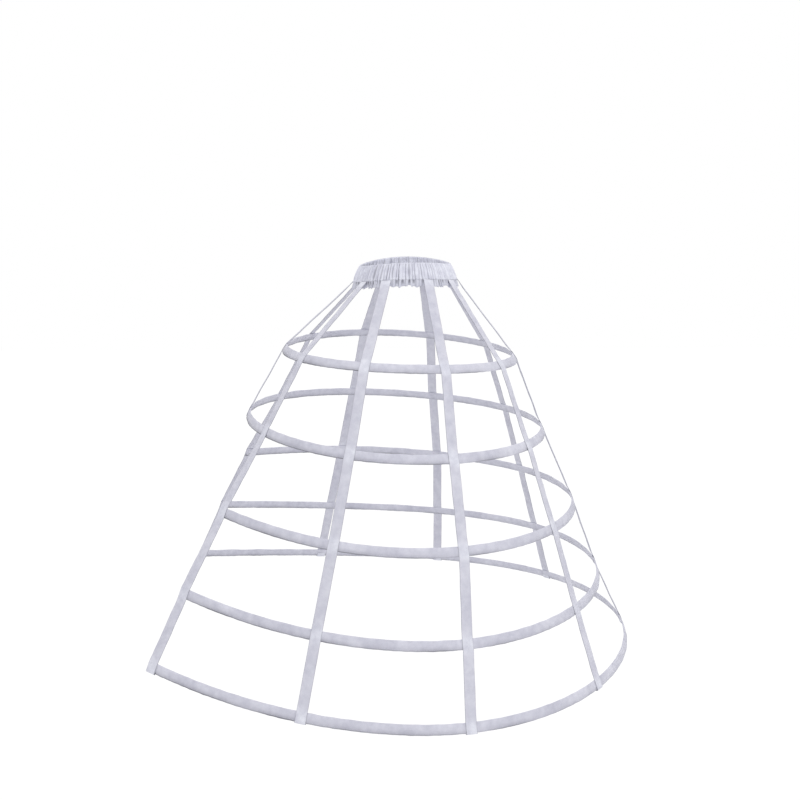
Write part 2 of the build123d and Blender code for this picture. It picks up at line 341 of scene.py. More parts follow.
class Hoop:
    """The smooth line along the outside of one casing, with its directions."""

    def __init__(self, number):
        self.number = number
        self.closed = number <= CLOSED_HOOPS
        self.stations = casing_stations(number)
        self.distance, self.length, rows = smooth_rows(self.stations, self.closed, CASING_STEP)
        self.points = rows[:, :3]
        along = direction_along(self.points, self.closed)
        out = rows[:, 3:]
        self.outward = unit(out - along * (out * along).sum(axis=1, keepdims=True))
        self.upward = np.cross(along, self.outward)

    def wave(self, pitch, seed):
        """An uneven wave along this hoop. Each hoop has its own."""
        return ripple(self.distance, self.length, pitch, seed + self.number)

    def sway(self, tapes):
        """Turns the casing's lean a little this way and that between the tapes that cross it."""
        turn = np.radians(SWAY_DEGREES) * self.wave(SWAY_PITCH, seed=40)
        for points in tapes:
            away = np.linalg.norm(self.points - self.seat(points)[0], axis=1)
            turn *= 1 - np.exp(-((away / SEAT_ROOM) ** 4))
        cos, sin = np.cos(turn)[:, None], np.sin(turn)[:, None]
        outward, upward = self.outward, self.upward
        self.outward = outward * cos + upward * sin
        self.upward = upward * cos - outward * sin

    def seat(self, tape_points):
        """The flat facet under a tape: middle, direction along the hoop, outward and upward."""
        a = self.stations
        b = np.roll(a, -1, axis=0)
        middles = (a[:, :3] + b[:, :3]) / 2
        away = [np.linalg.norm(tape_points - m, axis=1).min() for m in middles]
        k = int(np.argmin(away))
        along = unit(b[k, :3] - a[k, :3])
        out = a[k, 3:] + b[k, 3:]
        out = unit(out - along * (out @ along))
        return middles[k], along, out, np.cross(along, out)


def grid_piece(name, points, closed_long, lengths, around, solid=True):
    """A mesh from rings of points, with a map in metres: distance along, and distance round the ring.
    The rings are closed, and an open row of rings gets a cap at each end. A solid piece faces outwards,
    and a lining faces the hollow inside it."""
    rows, columns = points.shape[:2]
    i = np.arange(rows if closed_long else rows - 1)[:, None]
    j = np.arange(columns)[None, :]

    def at_corners(four):
        """What each face of the grid has at its four corners, a row for each face."""
        return np.stack([np.broadcast_to(a, (len(i), columns)) for a in four], axis=-1).reshape(-1, 4)

    next_i, next_j = (i + 1) % rows, (j + 1) % columns
    faces = at_corners([a * columns + b for a, b in ((i, j), (next_i, j), (next_i, next_j), (i, next_j))])
    u = at_corners([lengths[i], lengths[i + 1], lengths[i + 1], lengths[i]])
    v = at_corners([around[j], around[j], around[j + 1], around[j + 1]])
    flat = points.reshape(-1, 3)
    a, b, c, d = (flat[faces[:, k]] for k in range(4))
    volume = (a * np.cross(b, c)).sum() + (a * np.cross(c, d)).sum()
    if (volume < 0) == solid:
        faces, u, v = faces[:, ::-1], u[:, ::-1], v[:, ::-1]
    mesh = bpy.data.meshes.new(name)
    polygons = faces.tolist()
    maps = np.stack([u, v], axis=-1).reshape(-1, 2)
    if not closed_long:
        first = list(range(columns))
        last = [(rows - 1) * columns + k for k in range(columns)]
        start, end = polygons[0][0], polygons[0][-1]
        forwards = start // columns == end // columns and start < end
        polygons += [first, last[::-1]] if forwards else [first[::-1], last]
        maps = np.vstack([maps, np.zeros((2 * columns, 2))])
    mesh.from_pydata(flat, [], polygons)
    layer = mesh.uv_layers.new(name="cloth")
    layer.data.foreach_set("uv", maps.astype(np.float32).ravel())
    mesh.polygons.foreach_set("use_smooth", np.ones(len(polygons), bool))
    piece = bpy.data.objects.new(name, mesh)
    bpy.context.scene.collection.objects.link(piece)
    return piece


def give_values(piece, name, values):
    """Stores a value at each point of a piece, which its material reads."""
    layer = piece.data.attributes.new(name, "FLOAT", "POINT")
    layer.data.foreach_set("value", np.asarray(values, np.float32).ravel())


def build_casing(hoop):
    """A casing: outside skin and inside skin of the folded strip, pinched along its row of stitches."""
    half = np.array(CASING_SECTION) * MM
    heights = np.concatenate([half[:, 0], half[-2:0:-1, 0]])
    side = np.concatenate([np.ones(len(half)), -np.ones(len(half) - 2)])
    side[[0, len(half) - 1]] = 0
    away = np.abs(heights - STITCH_ROW)
    dip = hoop.wave(PUCKER_PITCH, seed=10)
    pucker = dip[:, None] * np.exp(-((away / PUCKER_REACH) ** 2)) * PUCKER_DEPTH
    slack = hoop.wave(SLACK_PITCH, seed=20)[:, None]
    slack = slack * (1 - (heights / (CASING_HEIGHT / 2)) ** 2) * SLACK_DEPTH
    low_edge = hoop.wave(3 * PUCKER_PITCH, seed=30)[:, None]
    high_edge = hoop.wave(SLACK_PITCH, seed=35)[:, None]
    high_edge = high_edge * (heights / CASING_HEIGHT + 0.5)
    edge = np.where(heights < STITCH_ROW, low_edge, high_edge) * EDGE_WAVE
    flatten = np.ones(len(hoop.distance))
    corner = np.ones(len(hoop.distance))
    if not hoop.closed:
        to_end = np.minimum(hoop.distance, hoop.length - hoop.distance)
        flatten = np.clip(to_end / CASING_END, CASING_END_FLATNESS, 1)
        inset = np.clip(CASING_CORNER - to_end, 0, CASING_CORNER)
        cut = CASING_CORNER - np.sqrt(CASING_CORNER**2 - inset**2)
        corner = 1 - cut / (CASING_HEIGHT / 2)
    skins = []
    for inward in (0, CASING_CLOTH):
        thick = np.clip(profile(CASING_SECTION, heights) - inward, THINNEST_SKIN, None)
        out = side * thick * flatten[:, None] + slack * side + pucker - CASING_THICKNESS / 2
        up = (heights * (1 - inward / (CASING_HEIGHT / 2)) + edge) * corner[:, None]
        skins.append(
            hoop.points[:, None]
            + hoop.outward[:, None] * out[..., None]
            + hoop.upward[:, None] * up[..., None]
        )
    lengths = np.append(hoop.distance, hoop.length)
    top = half[-1, 0]
    around = np.concatenate([half[:, 0], 2 * top - half[-2:0:-1, 0], [3 * top]])
    name = f"hoop_{hoop.number}_casing"
    outside = grid_piece(f"{name}_fabric", skins[0], hoop.closed, lengths, around)
    # Painted shade along the seam and the lower edge, uneven along the hoop and darker towards the front.
    backward = hoop.points[:, 1]
    deep = SHADE_MEAN + SHADE_UNEVEN * hoop.wave(SHADE_PITCH, seed=60)
    deep = deep - SHADE_IN_FRONT * backward / np.abs(backward).max()
    low = np.interp(heights, np.array(SEAM_SHADE)[:, 0] * MM, np.array(SEAM_SHADE)[:, 1])
    give_values(outside, "shade", np.clip(deep[:, None] * low, 0, SHADE_MOST))
    # The lining and the stitches stop two steps short of an open end.
    inner = slice(None) if hoop.closed else slice(2, -2)
    inside = grid_piece("lining", skins[1][inner], hoop.closed, lengths[inner], around, solid=False)
    join(outside, [inside])
    hoop.stitch_lines = []
    row = profile(CASING_SECTION, STITCH_ROW) * flatten
    for face in (1, -1):
        out = face * row + dip * PUCKER_DEPTH - CASING_THICKNESS / 2
        line = hoop.points + hoop.outward * out[:, None] + hoop.upward * STITCH_ROW
        hoop.stitch_lines.append((line[inner], hoop.closed))
    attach(outside, "root")
    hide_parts(name)
    return outside


def join(piece, others):
    """Adds the other pieces' faces to the first one."""
    with bpy.context.temp_override(active_object=piece, selected_editable_objects=[piece, *others]):
        bpy.ops.object.join()


def build_bone(hoop):
    """A boning strip with round edges, just inside the middle of its casing."""
    half, edge = BONE_HEIGHT / 2, BONE_THICKNESS / 2
    right = [(edge * math.cos(t), half - edge + edge * math.sin(t)) for t in np.radians([0, 45, 90])]
    top = np.array(right + [(-x, y) for x, y in right[-2::-1]])
    section = np.vstack([top, -top])
    ends = slice(None)
    if not hoop.closed:
        clear = int(BONE_END_ROOM / CASING_STEP) + 1
        ends = slice(clear, -clear)
    every = slice(None, None, int(BONE_STEP / CASING_STEP))
    where = hoop.distance[ends][every]
    points, outward, upward = (a[ends][every] for a in (hoop.points, hoop.outward, hoop.upward))
    out = section[:, 0] - CASING_THICKNESS / 2
    rings = (
        points[:, None]
        + outward[:, None] * out[None, :, None]
        + upward[:, None] * section[None, :, 1, None]
    )
    around = np.linspace(0, 2 * BONE_HEIGHT, len(section) + 1)
    name = f"hoop_{hoop.number}_bone"
    strip = grid_piece(f"{name}_strip", rings, hoop.closed, np.append(where, hoop.length), around)
    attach(strip, "root")
    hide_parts(name)
    return strip


def softened(rows, spread):
    """Rows averaged along their length by a bell curve that spreads over so many rows. The ends stay."""
    reach = int(3 * spread)
    weights = np.exp(-0.5 * (np.arange(-reach, reach + 1) / spread) ** 2)
    weights /= weights.sum()
    before = 2 * rows[0] - rows[reach:0:-1]
    after = 2 * rows[-1] - rows[-2 : -reach - 2 : -1]
    long = np.vstack([before, rows, after])
    return np.stack([np.convolve(column, weights, "valid") for column in long.T], axis=1)


def tape_corners(tape_points):
    """The four highest corners of a tape's solid, and the four where it comes out below the waistband."""
    by_height = tape_points[np.argsort(tape_points[:, 2])]
    return by_height[-4:], by_height[-8:-4]


def tape_route(tape_points, crossed):
    """Corner frames down a tape from under the waistband's lower edge: middle, outward and across."""
    top, below = tape_corners(tape_points)
    seat, along, leaning, upward = crossed[0].seat(tape_points)
    centre = below.mean(axis=0)
    across = below[np.argmax((below - centre) @ along)] - below[np.argmin((below - centre) @ along)]
    across = unit(across - np.array([0, 0, across[2]]))
    out = np.cross(across, unit(top.mean(axis=0) - centre))
    out *= np.sign(out @ leaning)
    start = centre - out * SEAM_TUCK - np.array([0, 0, SEAM_GAP])
    fall = unit(seat + upward * CASING_HEIGHT / 2 - start)
    out = unit(out - fall * (out @ fall))
    corners = [(start, out, across), (start + fall * 2 * TAPE_STEP, out, across)]
    raised = TAPE_THICKNESS / 2 + TAPE_LIFT
    for hoop in crossed:
        middle, along, outward, upward = hoop.seat(tape_points)
        for end in (CASING_HEIGHT / 2, -CASING_HEIGHT / 2):
            corners.append((middle + upward * end + outward * raised, outward, along))
    return corners


def turned_end(last, out, along):
    """The end of a tape's run: round the lower edge of its last casing and up the inside."""
    down = np.cross(out, along)
    down = down if down[2] < 0 else -down
    fold = []
    for turn in np.radians([30, 60, 90, 120, 150, 180]):
        place = last + out * TURN_RADIUS * (math.cos(turn) - 1) + down * TURN_RADIUS * math.sin(turn)
        fold.append(np.concatenate([place, out * math.cos(turn) + down * math.sin(turn), along]))
    for rise in np.arange(1, int(TAPE_TURN_UP / TURN_STEP) + 1) * TURN_STEP:
        fold.append(np.concatenate([last - out * 2 * TURN_RADIUS - down * rise, -out, along]))
    return fold


def crossing_boxes(corners):
    """The closed lines of stitches that hold a tape to each casing it crosses, in front and behind."""
    boxes = []
    for corner in range(2, len(corners), 2):
        a, out, along = corners[corner]
        b = corners[corner + 1][0]
        seat, up = (a + b) / 2, unit(a - b)
        front = seat + out * TAPE_THICKNESS * SEWN_FRONT
        back = seat - out * (CASING_THICKNESS + TAPE_LIFT + TAPE_THICKNESS / 2 + SEWN_LIFT)
        back_rise = SEWN_BOX
        if corner + 2 == len(corners):
            back_rise = TAPE_TURN_UP / 2 - SEWN_INSET
            back = seat - out * (2 * TURN_RADIUS + TAPE_THICKNESS / 2 + SEWN_LIFT / 2)
            back = back - up * (CASING_HEIGHT - TAPE_TURN_UP) / 2
        for centre, rise in ((front, SEWN_BOX), (back, back_rise)):
            shape = [(-1, -1), (1, -1), (1, 1), (-1, 1)]
            line = [centre + along * x * SEWN_BOX + up * y * rise for x, y in shape]
            boxes.append((np.array(line), True))
    return boxes


def build_tape(name, crossed):
    """A woven tape from the waistband's seam down over the casings, folded round the last of them.
    Also its length and the boxes of its stitches."""
    node = f"{name}_tape"
    points = node_points(node)
    corners = tape_route(points, crossed)
    rows = np.array([np.concatenate(c) for c in corners])
    at = distances(rows[:, :3])
    where = np.linspace(0, at[-1], round(at[-1] / TAPE_STEP) + 1)
    run = np.stack([np.interp(where, at, column) for column in rows.T], axis=1)
    run = softened(run, TAPE_SOFTENING / TAPE_STEP)
    run = np.vstack([run, turned_end(*corners[-1])])
    middle, across = run[:, :3], unit(run[:, 6:])
    distance = distances(middle)
    length = distance[-1]
    forward = direction_along(middle, False)
    across = unit(across - forward * (across * forward).sum(axis=1, keepdims=True))
    outward = np.cross(across, forward)
    outward *= np.sign((outward * run[:, 3:6]).sum(axis=1, keepdims=True))

    half = TAPE_WIDTH / 2
    steps = np.concatenate([[-1, -0.97, -0.9], np.linspace(-0.7, 0.7, 7), [0.9, 0.97, 1]])
    thick = np.where(np.abs(steps) > 0.85, SELVEDGE_THICKNESS, MIDDLE_THICKNESS)
    thick[[0, -1]] = EDGE_THICKNESS
    thick = thick * TAPE_THICKNESS / 2
    sideways = np.concatenate([steps, steps[::-1]]) * half
    depth = np.concatenate([thick, -thick[::-1]])
    seed = sum(map(ord, name))
    free = np.ones(len(run))
    for corner in range(2, len(corners), 2):
        seat = (at[corner] + at[corner + 1]) / 2
        free *= 1 - np.exp(-((np.abs(distance - seat) / CROSSING_HOLD) ** 4))
    free *= np.clip((distance - at[1]) / TOP_HOLD, 0, 1)
    bow = ripple(distance, length, TAPE_RIPPLE_PITCH, seed) * TAPE_RIPPLE * free
    curl = ripple(distance, length, TAPE_RIPPLE_PITCH / 2, seed + 1) * TAPE_RIPPLE * free
    lift = bow[:, None] * TAPE_BOW + curl[:, None] * (sideways / half) * np.abs(sideways / half)
    cup = CENTRE_CUP if name.startswith("centre") else TAPE_CUP
    lift = lift - cup * (sideways / half) ** 2 * free[:, None]
    uneven = WIDTH_UNEVEN * (1 + ripple(distance, length, TAPE_RIPPLE_PITCH, seed + 2)) * free
    narrow = WIDEST - uneven[:, None]
    rings = (
        middle[:, None]
        + across[:, None] * (sideways * narrow)[..., None]
        + outward[:, None] * (depth + lift)[..., None]
    )
    face = sideways[: len(steps)]
    other_face = face + TAPE_WIDTH * 1.05
    around = np.concatenate([face, other_face, other_face[-1:]])
    piece = grid_piece(f"{node}_fabric", rings, False, distance, around)
    # Painted light: where the tape lies on a casing, near the waistband's seam and in its turned end, it
    # takes the lighter backed colour.
    backing = 1 - free
    backing[distance > at[-1] - CASING_HEIGHT] = 1
    give_values(piece, "backing", np.repeat(backing, rings.shape[1]))
    # Painted shade along both selvedges.
    selvedge = np.where(np.abs(sideways) > 0.96 * half, SELVEDGE_SHADE, 0)
    give_values(piece, "shade", np.tile(selvedge, len(run)))
    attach(piece, "root")
    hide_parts(node)
    return piece, length, crossing_boxes(corners)


def waist_rings(turns, drops, outs, sideways=0.0):
    """Points at shares of a turn round the waist: level offsets out from its oval and sideways along it,
    at drops below its top edge."""
    fine = np.linspace(0, 2 * math.pi, 4001)
    x, y = WAIST_WIDTH / 2 * np.sin(fine), WAIST_DEPTH / 2 * np.cos(fine)
    along = np.concatenate([[0], np.cumsum(np.hypot(np.diff(x), np.diff(y)))])
    angle = np.interp(turns * along[-1], along, fine)
    x, y = WAIST_WIDTH / 2 * np.sin(angle), WAIST_DEPTH / 2 * np.cos(angle)
    lift = WAIST_BACK_LIFT * np.cos(angle) + WAIST_SIDE_LIFT * np.sin(angle) ** 2
    tangent = unit(np.stack([WAIST_WIDTH * np.cos(angle), -WAIST_DEPTH * np.sin(angle)], axis=1))
    return np.stack(
        [
            x + outs * -tangent[:, 1] + sideways * tangent[:, 0],
            y + outs * tangent[:, 0] + sideways * tangent[:, 1],
            lift - drops,
        ],
        axis=-1,
    )


def build_waistband(tape_tops):
    """The gathered band with its ruffle, over a hollow channel for the elastic.
    Also the lines of its stitches."""
    middle_round = math.pi * (WAIST_WIDTH + WAIST_DEPTH + 2 * BAND_FLARE) / 2
    hem = BAND_HEIGHT + RUFFLE_DROP

    def wave(distance, pitch, seed):
        """An uneven wave round the band."""
        return ripple(distance, middle_round, pitch, seed)

    def gathers(distance, drops):
        """How far the cloth stands out, and how deep in a valley it lies, which sets the painted shade
        there. The valleys are narrow and the crests round. They drift as they go down, and are deepest
        towards the front."""
        lean = np.sin(math.pi * drops / BAND_HEIGHT)
        turns = round(middle_round / GATHER_PITCH) * distance / middle_round
        phase = turns + GATHER_DRIFT * wave(distance, GATHER_DRIFT_PITCH, seed=51)
        phase = phase + lean * GATHER_LEAN * wave(distance, GATHER_LEAN_PITCH, seed=52)
        valley = np.abs(np.cos(math.pi * phase))
        crest = CREST_FLAT * (1 - 2 * valley**5) - CREST_ROUND * np.cos(2 * math.pi * phase)
        fine = wave(distance, FINE_CREASE_PITCH, seed=53) * FINE_CREASE
        strength = STRENGTH_MEAN + STRENGTH_UNEVEN * wave(distance, STRENGTH_PITCH, seed=54)
        strength = strength * (1 - STRENGTH_IN_FRONT * np.cos(2 * math.pi * distance / middle_round))
        strength = np.clip(strength, *STRENGTH_RANGE)
        return (crest + fine) * strength * GATHER_DEPTH, valley**8 * strength

    def flattened(turns):
        """1 where a tape lies over the seam and 0 away from the tapes."""
        seam = waist_rings(turns, BAND_HEIGHT, BAND_FLARE)
        near = np.min([np.linalg.norm(seam - top, axis=-1) for top in tape_tops], axis=0)
        return 1 / (1 + np.exp((near - PRESSED_REACH) / PRESSED_EDGE))

    def skin(columns, drops, face, inward):
        """One face of the cloth: places round the waist, offsets out and sideways, drops and painted
        shade.
        """
        turns = np.arange(columns)[:, None] / columns
        distance = turns * middle_round
        drops = np.asarray(drops)[None, :]
        in_band = np.minimum(drops, BAND_HEIGHT)
        fall = np.clip((drops - BAND_HEIGHT) / RUFFLE_DROP, 0, 1)
        under_tape = flattened(turns[:, 0])[:, None]
        drift = RUFFLE_DRIFT * wave(distance, RUFFLE_DRIFT_PITCH, seed=61)
        fold = 2 * math.pi * (round(middle_round / RUFFLE_PITCH) * turns + drift)
        swing = SWING_MEAN + SWING_UNEVEN * wave(distance, SWING_PITCH, seed=62)
        open_out = fall**0.8 * (1 - PRESSED * under_tape)
        half = np.maximum(profile(BAND_SECTION, in_band) - inward, BAND_CLOTH / 2)
        half = half * (1 - fall) + BAND_CLOTH * fall
        out = BAND_FLARE * in_band / BAND_HEIGHT + RUFFLE_OUT * fall
        height, valley = gathers(distance, in_band)
        at_seam = np.clip((drops - LIP_DROP) / (BAND_HEIGHT - LIP_DROP), 0, 1)
        out = out + height * (1 - GATHERS_LOST * fall) * (1 - PRESSED * under_tape * at_seam)
        out = out + np.sin(fold) * swing * RUFFLE_FOLD * open_out - under_tape * fall * PRESSED_IN
        out = out + face * half
        pinch = -np.sin(2 * fold) * RUFFLE_CURL * CURL_PINCH * open_out
        sideways = pinch + np.cos(fold) * RUFFLE_CURL * CURL_LEAN * open_out
        uneven = RUFFLE_UNEVEN * wave(distance, RUFFLE_UNEVEN_PITCH, seed=63)
        uneven = uneven + RUFFLE_LOBE * np.sin(fold)
        # Painted shade: in the gathers' valleys, deeper where the gathers are stronger and towards the
        # front, inside the ruffle's folds just below the seam, and in a line along the seam under the
        # band's lip.
        shade = VALLEY_SHADE * valley * np.interp(drops, [0, 4 * MM, BAND_HEIGHT, hem], [0.2, 1, 1, 0.3])
        tucked = np.interp(fall, [0, 0.12, 0.4, 0.75], [0, 1, 0.8, 0])
        shade = shade + FOLD_SHADE * tucked * (0.5 - 0.5 * np.sin(fold)) ** 4
        shade = shade + BAND_SEAM_SHADE * (at_seam > 0.99)
        return turns[:, 0], out, sideways, drops + uneven * fall, np.clip(shade, 0, BAND_SHADE_MOST)

    def rings(columns, sections):
        """Points round the band, and the painted shade at each."""
        points, shades = [], []
        for drops, face, inward in sections:
            turns, out, sideways, low, shade = skin(columns, drops, face, inward)
            rows = zip(low.T, out.T, sideways.T)
            points.append(np.stack([waist_rings(turns, *row) for row in rows], axis=1))
            shades.append(shade)
        return np.concatenate(points, axis=1), np.concatenate(shades, axis=1)

    band = np.append(TOP_FOLD_DROPS, GATHERED_DROPS) * MM
    seam = np.array(SEAM_DROPS) * MM
    ruffle = np.linspace(BAND_HEIGHT, hem, 9)[1:]
    outside = np.concatenate([band, seam, ruffle])
    inside = np.concatenate([ruffle[::-2], seam[::-1], band[:0:-2]])
    whole, shades = rings(BAND_COLUMNS, [(outside, 1, 0), (inside, -1, 0)])
    section = np.concatenate([outside, 2 * hem - inside])
    lengths = np.linspace(0, BAND_CUT[1], BAND_COLUMNS + 1)
    piece = grid_piece("waistband_fabric", whole, True, lengths, np.append(section, 2 * hem))
    give_values(piece, "shade", shades)

    channel = CHANNEL_DROPS * MM
    tunnel, _ = rings(CHANNEL_COLUMNS, [(channel, 1, BAND_CLOTH), (channel[::-1], -1, BAND_CLOTH)])
    lengths = np.linspace(0, BAND_CUT[1], CHANNEL_COLUMNS + 1)
    around = np.append(np.concatenate([channel, 2 * channel[-1] - channel[::-1]]), 2 * channel[-1])
    lining = grid_piece("channel_lining", tunnel, True, lengths, around, solid=False)
    join(piece, [lining])

    lines = []
    for row in BAND_ROWS:
        for face in (1, -1):
            stitched, _ = rings(BAND_COLUMNS // 2, [([row * MM], face, 0)])
            lines.append((stitched[:, 0], True))
    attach(piece, "root")
    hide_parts("waistband")
    return piece, lines


def line_object(lines):
    """A mesh of bare edges from lines of points, which a stitch tree reads."""
    points, edges = [], []
    for line, closed in lines:
        first = len(points)
        points += [tuple(p) for p in line]
        edges += [(first + k, first + k + 1) for k in range(len(line) - 1)]
        if closed:
            edges.append((len(points) - 1, first))
    mesh = bpy.data.meshes.new("seam_lines")
    mesh.from_pydata(points, edges, [])
    seam = bpy.data.objects.new("seam_lines", mesh)
    bpy.context.scene.collection.objects.link(seam)
    return seam


def stitch_tree(thread):
    """Geometry nodes that lay stitches end to end along every line of a mesh."""
    tree = bpy.data.node_groups.new("running stitches", "GeometryNodeTree")
    tree.interface.new_socket("Seams", in_out="INPUT", socket_type="NodeSocketGeometry")
    for name in ("Stitch pitch", "Stitch length", "Thread thickness"):
        tree.interface.new_socket(name, in_out="INPUT", socket_type="NodeSocketFloat")
    tree.interface.new_socket("Stitches", in_out="OUTPUT", socket_type="NodeSocketGeometry")
    nodes, links = tree.nodes, tree.links
    given = nodes.new("NodeGroupInput")
    result = nodes.new("NodeGroupOutput")
    curves = nodes.new("GeometryNodeMeshToCurve")
    spaced = nodes.new("GeometryNodeCurveToPoints")
    spaced.mode = "LENGTH"
    grain = nodes.new("GeometryNodeMeshIcoSphere")
    grain.inputs["Radius"].default_value = 0.5
    grain.inputs["Subdivisions"].default_value = 1
    size = nodes.new("ShaderNodeCombineXYZ")
    turned = nodes.new("FunctionNodeAlignRotationToVector")
    turned.axis = "Z"
    laid = nodes.new("GeometryNodeInstanceOnPoints")
    real = nodes.new("GeometryNodeRealizeInstances")
    finish = nodes.new("GeometryNodeSetMaterial")
    finish.inputs["Material"].default_value = thread
    links.new(given.outputs["Seams"], curves.inputs["Mesh"])
    links.new(curves.outputs["Curve"], spaced.inputs["Curve"])
    links.new(given.outputs["Stitch pitch"], spaced.inputs["Length"])
    links.new(given.outputs["Thread thickness"], size.inputs["X"])
    links.new(given.outputs["Thread thickness"], size.inputs["Y"])
    links.new(given.outputs["Stitch length"], size.inputs["Z"])
    links.new(spaced.outputs["Points"], laid.inputs["Points"])
    links.new(grain.outputs["Mesh"], laid.inputs["Instance"])
    links.new(spaced.outputs["Tangent"], turned.inputs["Vector"])
    links.new(turned.outputs["Rotation"], laid.inputs["Rotation"])
    links.new(size.outputs["Vector"], laid.inputs["Scale"])
    links.new(laid.outputs["Instances"], real.inputs["Geometry"])
    links.new(real.outputs["Geometry"], finish.inputs["Geometry"])
    links.new(finish.outputs["Geometry"], result.inputs["Stitches"])
    return tree


def sew(name, lines, tree):
    """Stitches along the lines, as one plain mesh."""
    seams = line_object(lines)
    modifier = seams.modifiers.new("stitches", "NODES")
    modifier.node_group = tree
    sizes = {
        "Stitch pitch": STITCH_PITCH,
        "Stitch length": STITCH_LENGTH,
        "Thread thickness": THREAD_THICKNESS,
    }
    for item in tree.interface.items_tree:
        if item.in_out == "INPUT" and item.name in sizes:
            modifier[item.identifier] = sizes[item.name]
    bpy.context.view_layer.update()
    state = bpy.context.evaluated_depsgraph_get()
    mesh = bpy.data.meshes.new_from_object(
        seams.evaluated_get(state), preserve_all_data_layers=True, depsgraph=state
    )
    bpy.data.objects.remove(seams)
    mesh.polygons.foreach_set("use_smooth", np.ones(len(mesh.polygons), bool))
    mesh.name = name
    stitches = bpy.data.objects.new(name, mesh)
    bpy.context.scene.collection.objects.link(stitches)
    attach(stitches, "root")
    return stitches


def maths(tree, operation, a, b=None, clamp=False):
    """A Math node whose inputs are sockets or numbers."""
    node = tree.nodes.new("ShaderNodeMath")
    node.operation = operation
    node.use_clamp = clamp
    for socket, value in zip(node.inputs, (a, b)):
        if isinstance(value, (int, float)):
            socket.default_value = value
        elif value is not None:
            tree.links.new(value, socket)
    return node.outputs[0]


def woven_cloth():
    """Shader group: threads over and under each other on the cloth map, in plain weave or slanting ribs,
    with slubs, soft creases and a little unevenness of colour. The weave's grooves and the creases are
    darkened with painted shade; the broad unevenness is the cloth's own tone."""
    tree = bpy.data.node_groups.new("woven cloth", "ShaderNodeTree")
    numbers = {
        "Thread pitch": 0.0006, "Slant": 0.0, "Rib width": 1.0, "Crease depth": 0.5, "Unevenness": 0.05,
    }
    colours = {"Colour": (0.8, 0.8, 0.8, 1), "Shade and tone colour": (0.6, 0.6, 0.65, 1)}
    for kind, values in (("NodeSocketFloat", numbers), ("NodeSocketColor", colours)):
        for name, value in values.items():
            tree.interface.new_socket(name, in_out="INPUT", socket_type=kind).default_value = value
    tree.interface.new_socket("Colour", in_out="OUTPUT", socket_type="NodeSocketColor")
    for name in ("Roughness", "Height"):
        tree.interface.new_socket(name, in_out="OUTPUT", socket_type="NodeSocketFloat")
    nodes, links = tree.nodes, tree.links
    given = nodes.new("NodeGroupInput").outputs
    result = nodes.new("NodeGroupOutput").inputs
    cloth = nodes.new("ShaderNodeUVMap")
    cloth.uv_map = "cloth"
    parts = nodes.new("ShaderNodeSeparateXYZ")
    links.new(cloth.outputs["UV"], parts.inputs[0])
    along, across = parts.outputs["X"], parts.outputs["Y"]
    folded = maths(tree, "PINGPONG", across, given["Rib width"])
    turns = maths(tree, "DIVIDE", 2 * math.pi, given["Thread pitch"])
    slanted = maths(tree, "ADD", along, maths(tree, "MULTIPLY", folded, given["Slant"]))
    warp = maths(tree, "SINE", maths(tree, "MULTIPLY", slanted, turns))
    weft = maths(tree, "SINE", maths(tree, "MULTIPLY", across, turns))
    crossing = maths(tree, "MULTIPLY", warp, weft)
    ribs = maths(tree, "MULTIPLY", warp, given["Slant"])
    plain = maths(tree, "MULTIPLY", crossing, maths(tree, "SUBTRACT", 1.0, given["Slant"]))
    weave = maths(tree, "MULTIPLY_ADD", maths(tree, "ADD", ribs, plain), 0.5)
    weave.node.inputs[2].default_value = 0.5

    place = nodes.new("ShaderNodeTexCoord")

    def noise(scale, detail):
        """Noise that stays in place on the piece."""
        texture = nodes.new("ShaderNodeTexNoise")
        texture.inputs["Scale"].default_value = scale
        texture.inputs["Detail"].default_value = detail
        links.new(place.outputs["Object"], texture.inputs["Vector"])
        return texture.outputs["Fac"]

    slub = noise(SLUB_SCALE, 2)
    crease = noise(CREASE_SCALE, 4)
    crease.node.inputs["Roughness"].default_value = 0.55
    broad = noise(BROAD_SCALE, 3)

    height = maths(tree, "ADD", weave, maths(tree, "MULTIPLY", slub, 0.5))
    height = maths(tree, "ADD", height, maths(tree, "MULTIPLY", crease, given["Crease depth"]))
    links.new(height, result["Height"])

    # Painted shade in the weave's grooves and in the creases, and the cloth's own uneven tone, mix the
    # colour towards the darker colour.
    shade_and_tone = nodes.new("ShaderNodeMix")
    shade_and_tone.data_type = "RGBA"
    depth = maths(tree, "MULTIPLY", maths(tree, "SUBTRACT", 1.0, weave), WEAVE_SHADE)
    uneven = maths(tree, "MULTIPLY", maths(tree, "SUBTRACT", broad, BROAD_LEVEL), given["Unevenness"])
    creased = maths(tree, "MULTIPLY", maths(tree, "SUBTRACT", CREASE_LEVEL, crease), CREASE_SHADE)
    shade = maths(tree, "ADD", maths(tree, "ADD", depth, uneven), creased, clamp=True)
    links.new(shade, shade_and_tone.inputs["Factor"])
    links.new(given["Colour"], shade_and_tone.inputs["A"])
    links.new(given["Shade and tone colour"], shade_and_tone.inputs["B"])
    links.new(shade_and_tone.outputs["Result"], result["Colour"])
    rough = maths(tree, "MULTIPLY", maths(tree, "ADD", slub, shade), 0.25)
    links.new(maths(tree, "ADD", rough, 0.55), result["Roughness"])
    return tree


